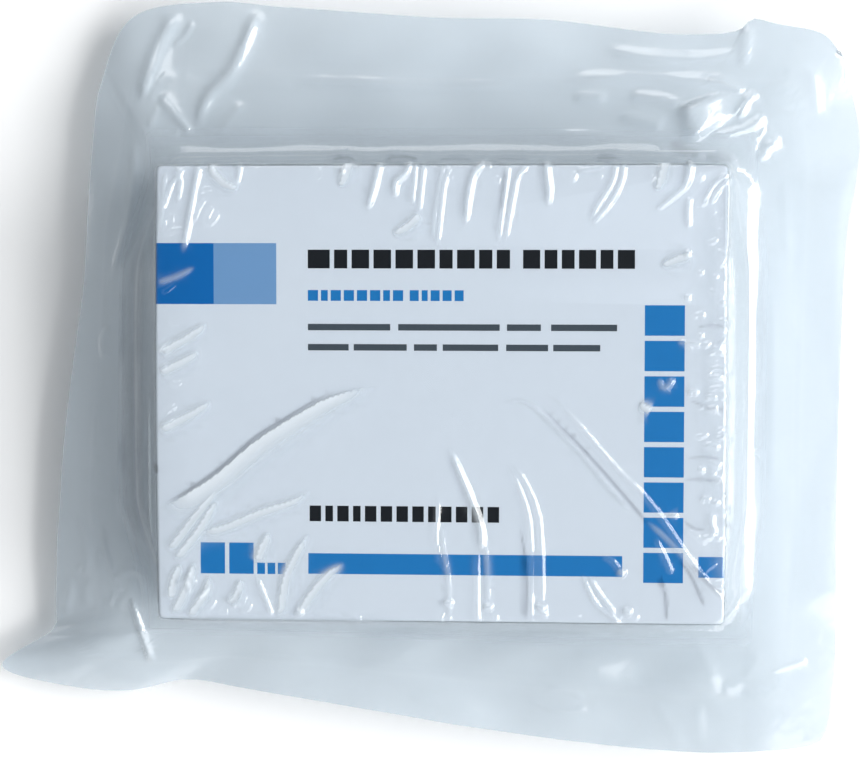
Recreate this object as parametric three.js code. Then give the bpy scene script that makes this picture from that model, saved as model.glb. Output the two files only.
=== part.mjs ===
// Vacuum-sealed carton of microscope slides: a closed card carton, with its glass slides inside, between
// the two clear film webs of a heat-sealed vacuum pouch.
//
// Millimetres. +X runs along the carton's long side, +Y towards the head of its front panel and +Z out of
// that panel. The origin is the middle of the carton's footprint, on the underside of the back web, where
// the pack rests.
//
// Every solid is a loft through closed rings. All rings share one set of stations: a station is a number
// from 0 to 4 that runs once round the pack. Its whole part is the side that it is on, and the rest is the
// share of that side. The sides are the right, the head, the left and the foot, as lists give them too.

import * as THREE from 'three';

// Carton. The slides stand on edge in one row, so its length and depth follow the slides.
const cartonLength = 79;
const cartonWidth = 63.5;
const cartonDepth = 29;
const cartonCorner = 0.7; // radius of the upright corners
const sharpestCorner = 0.3; // no corner inside them is tighter than this
const cartonEdge = 0.4; // radius of the creased edges round the two panels
const cardThickness = 0.6;
const trayReveal = 5; // height of the tray that shows below the lid's skirt
const leftWallBow = 0.9; // the left wall swells out by this at its middle
const leftEdgeBow = 0.35; // and the panels' left edges by this

// Film.
const filmThickness = 0.15;
const filmClearance = 0.1; // between the film and the card
const seamGap = 0.2; // between the webs where they only cling
const sealGap = 0.04; // between the webs in the heat seal
const sealWidth = 9;

// How the film is drawn round the carton.
const seamHeight = 12; // level at which the two webs meet, at the foot of the walls
const footRadius = 3; // hollow where a wall turns into the flange

// How far the film stands off the card where its foot begins: at the upright corners, and along each side.
const cornerLean = 0.9;
const sideLean = [2.8, 1.1, 4.4, 1.1];
const leanRise = 0.2; // share of a side over which the one grows to the other

// Pleats of the front web, drawn over the edges of the panel: the side, how far along it from -1 to 1, half
// the width and the height.
const pleats = [
  { side: 1, at: -0.88, half: 1.4, height: 0.7 },
  { side: 1, at: -0.59, half: 1.8, height: 0.8 },
  { side: 1, at: -0.39, half: 1.1, height: 0.6 },
  { side: 1, at: -0.26, half: 1.2, height: 0.9 },
  { side: 1, at: -0.1, half: 1.3, height: 0.9 },
  { side: 1, at: 0.01, half: 1.2, height: 0.9 },
  { side: 1, at: 0.14, half: 1.8, height: 0.8 },
  { side: 1, at: 0.36, half: 2.2, height: 0.9 },
  { side: 3, at: -0.58, half: 2, height: 0.5 },
  { side: 3, at: 0.04, half: 1.3, height: 0.7 },
  { side: 3, at: 0.18, half: 1.8, height: 1 },
  { side: 3, at: 0.37, half: 1.3, height: 0.9 },
  { side: 3, at: 0.64, half: 1.4, height: 0.7 },
];
const pleatRun = 7; // how far they run in from the panel's edge

// Outer edge of the flange in plan, counter-clockwise from the lower right corner. Each corner's points are
// distances past the carton's ends, along X and along Y. The lower left one is an ear that stands out.
const flangeCorners = [
  {
    x: 1,
    y: -1,
    before: [[4.5, 22]],
    middle: [14.1, 20.8],
    after: [[15.9, 19.6], [17.5, 9.5]],
  },
  {
    x: 1,
    y: 1,
    before: [[20.4, 4.7], [17.4, 17]],
    middle: [17.9, 16],
    after: [[15.1, 19.5], [8.3, 21.1], [4.5, 21.8]],
  },
  {
    x: -1,
    y: 1,
    before: [[-4.9, 25.1]],
    middle: [8, 22.9],
    after: [[12.6, 12.7], [13.6, 5.9]],
  },
  {
    x: -1,
    y: -1,
    before: [[20.4, 2.5], [20.6, 5.4]],
    middle: [29.1, 11.6],
    after: [[17.6, 14.8], [9.3, 15], [0.5, 13]],
  },
];

// Points between the corners: how far along the carton's side, from -1 to 1, and how far past it.
const flangeSides = [
  [[-0.64, 17.4], [0.06, 17.7], [0.7, 18.5]],
  [[-1.08, 20.4], [-0.85, 19.7], [-0.38, 21.9], [0.05, 22.3], [0.63, 24.2]],
  [[-0.48, 15.2], [0, 17.3], [0.45, 18.9]],
  [[-0.8, 13.8], [-0.33, 16.5], [0.25, 20.1], [0.85, 22.2]],
];

// How far the outer edge hangs below the seam, at the start and the middle of each side.
const edgeDroop = [
  { start: 2.2, middle: 1.2 },
  { start: 1, middle: 1.6 },
  { start: 4.6, middle: 3.4 },
  { start: 8.2, middle: 2.6 },
];
const droopCurve = 1.5; // the flange falls with this power of the way out to its edge

// Waves that run round the flange, as high as this at its edge.
const ripples = [
  { waves: 3, phase: 0.4, height: 0.7 },
  { waves: 7, phase: 1.9, height: 0.45 },
];

// Number of stations on the straight stretch of a side, pleats apart, and on each half of a rounded corner.
const straightSteps = 14;
const cornerSteps = 2;
const cornerShare = 0.1; // share of a side's stations taken by each half corner
const pleatMargin = 1.3; // even steps keep off a pleat by this share of its half width
const outlineSteps = 12; // between two points of the flange's outline
const filletSteps = 3;
const flangeSteps = 3;
const clingShares = [0.5, 0.96]; // rings between the foot and the seal, as shares of that way
const nearestSeal = 0.12; // the seal never begins nearer the foot than this share of the flange

const cartonBottom = filmThickness + filmClearance;
const cartonTop = cartonBottom + cartonDepth;

// Stations -----------------------------------------------------------------------------------------------

// Share of a side's stations at a place on its straight stretch, from -1 to 1.
function straightShare(place) {
  return cornerShare + ((1 - 2 * cornerShare) * (place + 1)) / 2;
}

// Length of the straight stretch of a side.
function straightLength(side) {
  return (side % 2 === 0 ? cartonWidth : cartonLength) - 2 * cartonCorner;
}

// Stations of one side: each pleat has its crest and its two feet, and even steps fill the rest.
function sideShares(side) {
  const places = [];
  const here = pleats.filter((pleat) => pleat.side === side);
  const reach = (pleat) => (2 * pleat.half) / straightLength(side);
  for (let i = 0; i <= straightSteps; i += 1) {
    const place = (2 * i) / straightSteps - 1;
    if (here.every((pleat) => Math.abs(place - pleat.at) > reach(pleat) * pleatMargin)) {
      places.push(place);
    }
  }
  for (const pleat of here) {
    places.push(pleat.at - reach(pleat), pleat.at, pleat.at + reach(pleat));
  }
  places.sort((a, b) => a - b);
  const turns = Array.from({ length: cornerSteps }, (_, i) => (cornerShare * i) / cornerSteps);
  return [...turns, ...places.map(straightShare), ...turns.slice(1).map((turn) => 1 - turn).reverse()];
}

const stations = [0, 1, 2, 3].flatMap((side) => sideShares(side).map((share) => side + share));

// Direction that a side faces, and the direction that its stations run.
function sideFrame(side) {
  const angle = (side * Math.PI) / 2;
  const facing = new THREE.Vector2(Math.round(Math.cos(angle)), Math.round(Math.sin(angle)));
  const along = new THREE.Vector2(-facing.y, facing.x);
  const across = side % 2 === 0 ? cartonLength : cartonWidth;
  const length = side % 2 === 0 ? cartonWidth : cartonLength;
  return { facing, along, halfAcross: across / 2, halfAlong: length / 2 };
}

// Points of the flange's outline from the middle of one corner up to the next.
function outlinePoints(side) {
  const { facing, along, halfAcross, halfAlong } = sideFrame(side);
  const cornerPoint = ({ x, y }, [pastX, pastY]) =>
    new THREE.Vector3(x * (cartonLength / 2 + pastX), y * (cartonWidth / 2 + pastY), 0);
  const sidePoint = ([share, past]) => {
    const point = facing.clone().multiplyScalar(halfAcross + past);
    point.addScaledVector(along, halfAlong * share);
    return new THREE.Vector3(point.x, point.y, 0);
  };
  const from = flangeCorners[side];
  const to = flangeCorners[(side + 1) % 4];
  return [
    ...[from.middle, ...from.after].map((past) => cornerPoint(from, past)),
    ...flangeSides[side].map(sidePoint),
    ...to.before.map((past) => cornerPoint(to, past)),
  ];
}

const pointsBySide = [0, 1, 2, 3].map(outlinePoints);
const outline = new THREE.CatmullRomCurve3(pointsBySide.flat(), true, 'centripetal');

// The outline's stretch along one side, as a curve of its own that can be measured by length.
function edgeCurve(side) {
  const all = pointsBySide.flat().length;
  const first = pointsBySide.slice(0, side).flat().length;
  const steps = pointsBySide[side].length * outlineSteps;
  const samples = Array.from({ length: steps + 1 }, (_, i) =>
    outline.getPoint(((first + i / outlineSteps) / all) % 1),
  );
  return new THREE.CatmullRomCurve3(samples);
}

const edgeCurves = [0, 1, 2, 3].map(edgeCurve);

function sideAndShare(station) {
  const side = Math.min(Math.floor(station), 3);
  return { side, share: station - side };
}

// Point at a station on the carton's rounded footprint, grown by a distance, and the way its wall faces.
function footprint(station, grown) {
  const { side, share } = sideAndShare(station);
  const { facing, along, halfAcross, halfAlong } = sideFrame(side);
  const radius = Math.max(cartonCorner + grown, sharpestCorner);
  const straight = THREE.MathUtils.clamp((share - cornerShare) / (1 - 2 * cornerShare), 0, 1);
  const turn = (Math.max(0, share - 1 + cornerShare) - Math.max(0, cornerShare - share)) / cornerShare;
  const angle = (turn * Math.PI) / 4;
  const normal = facing.clone().multiplyScalar(Math.cos(angle)).addScaledVector(along, Math.sin(angle));
  const point = facing.clone().multiplyScalar(halfAcross + grown - radius);
  point.addScaledVector(along, (halfAlong + grown - radius) * (2 * straight - 1));
  point.addScaledVector(normal, radius);
  return { point, normal };
}

// Swell of the left wall, which is greatest half way along it and half way up it.
function wallBow(station, height) {
  const { side, share } = sideAndShare(station);
  if (side !== 2) {
    return 0;
  }
  const up = THREE.MathUtils.clamp((height - cartonBottom) / cartonDepth, 0, 1);
  const bow = leftEdgeBow + (leftWallBow - leftEdgeBow) * Math.sin(Math.PI * up);
  return bow * Math.sin(Math.PI * share);
}

function wallPoint(station, out, height) {
  const { point, normal } = footprint(station, out);
  const place = point.addScaledVector(normal, wallBow(station, height));
  return new THREE.Vector3(place.x, place.y, height);
}

// Loft ---------------------------------------------------------------------------------------------------

// Closed body between an upper and a lower face. Each face is rings of points from its middle outwards,
// and a rim joins their last rings. Both split their quads along the same diagonal, so that faces which
// lie a film's thickness apart stay parallel.
function loft(upper, lower) {
  const count = stations.length;
  const points = [...upper, ...lower].flat();
  const triangles = [];
  const quad = (a, b, c, d) => triangles.push(a, b, c, a, c, d);
  const eachStation = (visit) => stations.forEach((_, i) => visit(i, (i + 1) % count));
  for (let ring = 0; ring < (upper.length - 1) * count; ring += count) {
    eachStation((i, next) => quad(ring + i, ring + count + i, ring + count + next, ring + next));
  }
  const start = upper.length * count;
  for (let ring = start; ring < start + (lower.length - 1) * count; ring += count) {
    eachStation((i, next) => quad(ring + count + next, ring + count + i, ring + i, ring + next));
  }
  const upperRim = start - count;
  const lowerRim = points.length - count;
  eachStation((i, next) => quad(upperRim + i, lowerRim + i, lowerRim + next, upperRim + next));
  for (const [a, b, c] of THREE.ShapeUtils.triangulateShape(upper[0].map(flat), [])) {
    triangles.push(a, b, c);
  }
  for (const [a, b, c] of THREE.ShapeUtils.triangulateShape(lower[0].map(flat), [])) {
    triangles.push(start + a, start + c, start + b);
  }
  const geometry = new THREE.BufferGeometry();
  geometry.setFromPoints(points);
  geometry.setIndex(triangles);
  return geometry;
}

function flat(point) {
  return new THREE.Vector2(point.x, point.y);
}

// A quarter round in steps, from facing the panel to facing the wall, as sine and cosine pairs.
function quarterRound(steps) {
  return Array.from({ length: steps + 1 }, (_, i) => {
    const angle = (i / steps) * (Math.PI / 2);
    return { across: Math.sin(angle), up: Math.cos(angle) };
  });
}

// Carton -------------------------------------------------------------------------------------------------

// Rings of one panel and its creased edge, from the panel's middle out.
function panelRings(way, panel, inset) {
  return quarterRound(filletSteps).map(({ across, up }) => {
    const height = panel - way * cartonEdge * (1 - up);
    return stations.map((station) => wallPoint(station, cartonEdge * (across - 1) - inset, height));
  });
}

function cartonBody() {
  const ring = (inset, height) => stations.map((station) => wallPoint(station, -inset, height));
  const skirtFoot = cartonBottom + trayReveal;
  const lid = [...panelRings(1, cartonTop, 0), ring(0, cartonBottom + cartonDepth / 2), ring(0, skirtFoot)];
  const tray = [...panelRings(-1, cartonBottom, cardThickness), ring(cardThickness, skirtFoot)];
  return loft(lid, tray);
}

// Film ---------------------------------------------------------------------------------------------------

function blend(from, to, share) {
  const smooth = share * share * (3 - 2 * share);
  return from + (to - from) * smooth;
}

// Distance from the card to where the film's foot ends and the flange begins.
function footReach(station) {
  const { side, share } = sideAndShare(station);
  const fromCorner = Math.min(share, 1 - share) - cornerShare;
  const rise = THREE.MathUtils.clamp(fromCorner / leanRise, 0, 1);
  return filmClearance + blend(cornerLean, sideLean[side], rise) + footRadius;
}

// Height of the front web's pleats at a station.
function pleatHeight(station) {
  const { side, share } = sideAndShare(station);
  const perShare = straightLength(side) / (1 - 2 * cornerShare);
  const away = ({ at }) => Math.abs(share - straightShare(at)) * perShare;
  const heights = pleats
    .filter((pleat) => pleat.side === side)
    .map((pleat) => pleat.height * Math.max(0, 1 - away(pleat) / pleat.half));
  return Math.max(0, ...heights);
}

// Level of the seam at a station, a share of the way from the foot of the wall to the flange's edge.
function seamLevel(station, share) {
  const { side, share: along } = sideAndShare(station);
  const here = edgeDroop[side];
  const next = edgeDroop[(side + 1) % 4];
  const firstHalf = along < 0.5;
  const from = firstHalf ? here.start : here.middle;
  const to = firstHalf ? here.middle : next.start;
  const droop = blend(from, to, firstHalf ? 2 * along : 2 * along - 1);
  let level = seamHeight - droop * share ** droopCurve;
  for (const { waves, phase, height } of ripples) {
    level += height * share * Math.sin((station / 4) * 2 * Math.PI * waves + phase);
  }
  return level;
}

// Share of the way from foot to edge at which the heat seal begins.
function sealStart(station) {
  const { side, share } = sideAndShare(station);
  const { facing } = sideFrame(side);
  const foot = wallPoint(station, footReach(station), seamHeight);
  const edge = edgeCurves[side].getPointAt(share);
  const width = (edge.x - foot.x) * facing.x + (edge.y - foot.y) * facing.y;
  return Math.max(nearestSeal, 1 - sealWidth / width);
}

function flangePoint(station, share, offset) {
  const { side, share: along } = sideAndShare(station);
  const foot = wallPoint(station, footReach(station), seamHeight);
  const edge = edgeCurves[side].getPointAt(along);
  const point = foot.lerp(edge, share);
  point.z = seamLevel(station, share) + offset;
  return point;
}

// Rings of one face of a web, from its panel out to the flange's edge. way is 1 for the front web and -1
// for the back one, panel is the level of the card that it covers and skin the depth from its card side.
function webRings(way, panel, skin) {
  const rings = [];
  const ring = (place) => rings.push(stations.map(place));
  const edgeRadius = cartonEdge + filmClearance + skin;
  const flatLevel = panel + way * (filmClearance + skin);
  if (way > 0) {
    ring((station) => wallPoint(station, -pleatRun, flatLevel));
  }
  for (const { across, up } of quarterRound(filletSteps)) {
    ring((station) => {
      const radius = edgeRadius + (way > 0 ? pleatHeight(station) : 0);
      return wallPoint(station, radius * across - cartonEdge, panel + way * (radius * up - cartonEdge));
    });
  }
  const hollow = footRadius - skin;
  for (const { across, up } of quarterRound(filletSteps).reverse()) {
    const height = seamHeight + way * (footRadius + seamGap / 2 - hollow * up);
    ring((station) => wallPoint(station, footReach(station) - hollow * across, height));
  }
  const clinging = way * (skin + seamGap / 2);
  const sealed = way * (skin + sealGap / 2);
  for (const share of clingShares) {
    ring((station) => flangePoint(station, sealStart(station) * share, clinging));
  }
  for (let i = 0; i <= flangeSteps; i += 1) {
    ring((station) => {
      const start = sealStart(station);
      return flangePoint(station, start + ((1 - start) * i) / flangeSteps, sealed);
    });
  }
  return rings;
}

function webBody(way, panel) {
  const cardSide = webRings(way, panel, 0);
  const outside = webRings(way, panel, filmThickness);
  return way > 0 ? loft(outside, cardSide) : loft(cardSide, outside);
}

// Assembly -----------------------------------------------------------------------------------------------

const paperboard = new THREE.MeshStandardMaterial({ color: '#e6ebf0', roughness: 0.6, metalness: 0 });
const film = new THREE.MeshStandardMaterial({
  color: '#d4e2ee',
  roughness: 0.15,
  metalness: 0,
  transparent: true,
  opacity: 0.3,
});

const pack = new THREE.Group();

function add(name, geometry, material) {
  geometry.computeVertexNormals();
  const mesh = new THREE.Mesh(geometry, material);
  mesh.name = name;
  pack.add(mesh);
}

add('carton', cartonBody(), paperboard);
add('pouch_front_film', webBody(1, cartonTop), film);
add('pouch_back_film', webBody(-1, cartonBottom), film);

export default pack;
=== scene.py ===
"""Finish of a vacuum-sealed carton of microscope slides: a printed carton between two clear film webs."""

import math

import bmesh
import bpy
import numpy as np
from bpy.props import FloatProperty, FloatVectorProperty, PointerProperty
from bpy.types import Operator, Panel, PropertyGroup
from mathutils import Euler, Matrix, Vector


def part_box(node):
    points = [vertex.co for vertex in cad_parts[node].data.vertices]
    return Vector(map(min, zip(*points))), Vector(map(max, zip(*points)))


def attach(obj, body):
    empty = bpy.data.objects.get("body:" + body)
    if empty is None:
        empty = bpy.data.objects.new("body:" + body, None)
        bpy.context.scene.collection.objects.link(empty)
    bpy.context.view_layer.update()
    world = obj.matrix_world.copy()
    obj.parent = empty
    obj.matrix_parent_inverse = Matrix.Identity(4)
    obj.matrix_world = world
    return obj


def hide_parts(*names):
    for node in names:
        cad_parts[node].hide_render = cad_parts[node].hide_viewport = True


bl_info = {
    "name": "Vacuum-sealed slide carton",
    "version": (1, 0, 0),
    "blender": (4, 5, 0),
    "location": "View3D > Sidebar > Slide carton",
    "description": "Makes a printed slide carton sealed between two clear film webs, and its studio stage",
    "category": "Add Mesh",
}

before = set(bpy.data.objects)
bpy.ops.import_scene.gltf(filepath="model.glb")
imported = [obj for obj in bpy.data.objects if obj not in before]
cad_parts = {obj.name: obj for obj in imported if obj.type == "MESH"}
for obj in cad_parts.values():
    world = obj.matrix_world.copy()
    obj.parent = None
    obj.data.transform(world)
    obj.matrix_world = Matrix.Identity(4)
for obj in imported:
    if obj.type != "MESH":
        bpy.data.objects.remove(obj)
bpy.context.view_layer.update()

MM = 0.001
CARTON_LOW, CARTON_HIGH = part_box("carton")
CARTON_LENGTH = 2 * CARTON_HIGH.x
CARTON_WIDTH = 2 * CARTON_HIGH.y
CARTON_DEPTH = CARTON_HIGH.z - CARTON_LOW.z
HALVES = np.array([CARTON_LENGTH / MM / 2, CARTON_WIDTH / MM / 2])  # half length and half width, in mm

# Outer edge of the flange in plan, in mm, counter-clockwise from the lower right corner. A corner's points
# are distances past the carton's ends, along X and along Y. The lower left one is an ear.
FLANGE_CORNERS = [
    {"x": 1, "y": -1, "before": [(4.5, 22)], "middle": (14.1, 20.8), "after": [(15.9, 19.6), (17.5, 9.5)]},
    {
        "x": 1,
        "y": 1,
        "before": [(20.4, 4.7), (17.4, 17)],
        "middle": (17.9, 16),
        "after": [(15.1, 19.5), (8.3, 21.1), (4.5, 21.8)],
    },
    {"x": -1, "y": 1, "before": [(-4.9, 25.1)], "middle": (8, 22.9), "after": [(12.6, 12.7), (13.6, 5.9)]},
    {
        "x": -1,
        "y": -1,
        "before": [(20.4, 2.5), (20.6, 5.4)],
        "middle": (29.1, 11.6),
        "after": [(17.6, 14.8), (9.3, 15), (0.5, 13)],
    },
]
# Points between the corners: how far along the carton's side, from -1 to 1, and how far past it in mm. The
# sides are the right, the head, the left and the foot.
FLANGE_SIDES = [
    [(-0.64, 17.4), (0.06, 17.7), (0.7, 18.5)],
    [(-1.08, 20.4), (-0.85, 19.7), (-0.38, 21.9), (0.05, 22.3), (0.63, 24.2)],
    [(-0.48, 15.2), (0, 17.3), (0.45, 18.9)],
    [(-0.8, 13.8), (-0.33, 16.5), (0.25, 20.1), (0.85, 22.2)],
]
OUTLINE_STEPS = 40  # samples between two points of the outline

# Light of the room's walls, away from the windows and towards them, and of its ceiling. The angles are from
# straight up, in degrees, and ceiling turns into wall between them.
DIM_WALL = 0.36
BRIGHT_WALL = 0.57
CEILING_LIGHT = 0.035
CEILING_STARTS = 14
CEILING_ENDS = 42
BRIGHT_SIDE = (0.82, -0.57, 0)
# Soft boxes: direction round from +X and up, in degrees, distance and size in m, power in W, and colour.
LAMPS = {
    "window": (0, 41.5, 2.0, 1.2, 35.5, (1, 0.995, 0.985)),
    "second_window": (-52, 44, 2.0, 1.2, 9.5, (1, 1, 1)),
    "head_window": (96, 42, 2.0, 0.8, 4.4, (1, 1, 1)),
    "lower_lamp": (-30, 48, 1.0, 0.1, 0.7, (1, 1, 1)),
    "upper_lamp": (30, 48, 1.0, 0.1, 0.7, (1, 1, 1)),
}
FLOOR_HALF = 1500  # in mm, half of the floor's side
FLOOR_DROP = 0.05  # in mm, how far the floor lies below the pack
CAMERA_TILT = (-3.12, 3.56, 0.08)  # in degrees about X, Y and Z, from straight down
CAMERA_AIM = (-0.00087, 0.00163)  # in m, where on the panel the camera points

# Size in mm of the board's fibre, drawn coarser than the real one so that it shows, and of its faint mottle.
FIBRE_SIZE = 0.9
MOTTLE_SIZE = 14
FILM_RIPPLE = 4  # size in mm of the film's shallow ripple, which breaks up what it mirrors
# Share of milky scatter in one skin of the film: on the panel, and on the flange.
CLEAR_HAZE = 0.002
FLANGE_HAZE = 0.36
PAINTED_SHADE_TINT = (0.72, 0.73, 0.75)  # what one skin of film passes where shade is painted into it

PAST_EDGE = 45  # in mm, an end of a printed field that runs over the panel's edge
CORNER_SEGMENTS = 5
EDGE_SEGMENTS = 4
BOW_STEPS = 16  # parts that the left wall is cut into each way, so that it can swell
CUT_SLACK = 0.0001  # in mm, how near a cut a vertex counts as on it
LEVEL_SLACK = 0.01  # in mm, how near a level a vertex counts as at it

CORNER_SHARE = 0.1  # share of each side's edge that belongs to the carton's rounded corner
ROUND_SHARE = 0.2  # share of that corner which its turn over the card takes up, and the flange the rest
# Station of each corner's middle, by its signs of X and Y. A station counts the sides from the right one on.
CORNER_STATIONS = {(-1, -1): 3.0, (-1, 1): 2.0, (1, -1): 4.0, (1, 1): 1.0}
LEAN_RISE = 0.2  # share of a side over which the film's stand-off grows from its corners
SEAM_MILK = 0.7  # how milky the film is at the start of the flange, where 1 is its seal
SEAL_MILK = 0.86  # and how milky it is up to the seal
SEAM_BLEND = 0.04  # in the same measure, how soon the flange's own creases begin
FACE_STEP = 1.0  # in mm, between the web's grid lines over the panel
TURN_STEPS = 3  # parts of the web's grid over an edge and in a hollow, down a wall, and out over the flange
WALL_STEPS = 5
FLANGE_STEPS = 15
BOW_FADE = 3.0  # in mm, how far in from the left edge the film takes up the wall's bow
SWEEP_RADIUS = 8.0  # in mm, of the film's hollow at the right wall's foot
SWEEP_END = 2.0  # in mm, how far past the carton's ends it reaches
SWEEP_FADE = 5  # in mm, how far from there it takes to reach its radius
SWEEP_DROP = 0.4  # in mm, how far its outer end lies below the seam, to merge with the flange
SEAL_STARTS = 0.35  # share of the flange at which the heat seal starts, and the share it takes to close
SEAL_CLOSES = 0.25
# Shares of the flange: the film turns as milky as clinging webs over the first, and then as milky as its seal
# from the second on, over the third.
CLING_TAKES = 0.1
SEAL_HAZE_STARTS = 0.45
SEAL_HAZE_TAKES = 0.05
SIDE_SLACK = 0.5  # in mm, for telling which side of the carton a place is past
NOMINAL_LEAN = 2.0  # stand-off in mm at which the web's grid is laid out

# How far the outer edge hangs below the seam, in mm, at the start and the middle of each side.
EDGE_DROOP = [(2.2, 1.2), (1, 1.6), (4.6, 3.4), (8.2, 2.6)]
DROOP_CURVE = 1.5  # power of the flange share that it hangs by, so that it leaves the pack level
RIPPLES = [(3, 0.4, 0.7), (7, 1.9, 0.45)]  # waves round the flange, phase, height in mm

# Kinds of crease: half width and height in mm, how sharp the crest is, from 2 for a soft swell to 1 for a
# pinched pleat, how many times wider the flank towards the lower right is, how milky the lifted film looks,
# and how dark the film is tinted there as painted shade. A kind without height only changes the film's look;
# the dark tints paint the shadow along folds and edges and in the hollow left of the carton.
PANEL_KINDS = {
    "long_fold": (0.36, 0.2, 1.7, 6, 2.2, 0),
    "fan": (0.55, 0.05, 1.6, 1.8, 2.0, 0),
    "faint": (0.38, 0.22, 1.6, 1, 0.5, 0),
    "line": (0.3, 0.4, 1.4, 1, 0.15, 0),
    "milky_line": (0.33, 0.4, 1.4, 1, 0.55, 0),
    "pleat": (0.5, 0.52, 1.6, 1, 0.8, 0),
    "bead": (0.5, 0.5, 1.8, 1, 0.7, 0),
    "wall_line": (0.22, 0.15, 1.6, 1, 1.5, 0),
    "dark": (0.17, 0, 1.6, 1, 0, 0.65),
    "grey": (0.18, 0, 1.6, 1, 0, 0.4),
    "speck": (0.3, 0, 2, 1, 0, 1),
    "mist": (1.6, 0, 2, 1, 0.4, 0),
    "gloom": (2.2, 0, 2, 1, 0, 0.5),
    "shade": (0.8, 0, 1.6, 1, 0, 0.55),
    "tunnel": (0.27, 0.33, 1.6, 1, 0, 0.8),
}
FLANGE_KINDS = {
    "swell": (1.0, 0.75, 1.5, 1, 0, 0),
    "dent": (1.2, 1.3, 1.6, 4, 0, 0),
    "fold": (0.75, 0.5, 1.4, 1, 0, 0),
    "steep": (0.45, 0.7, 1.4, 1, 0, 0),
    "low": (0.8, 0.33, 1.5, 1, 0, 0),
    "small": (0.36, 0.14, 1.4, 1, 0, 0),
    "trace": (0.8, 0.12, 1.4, 1, 0, 0),
}
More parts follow.
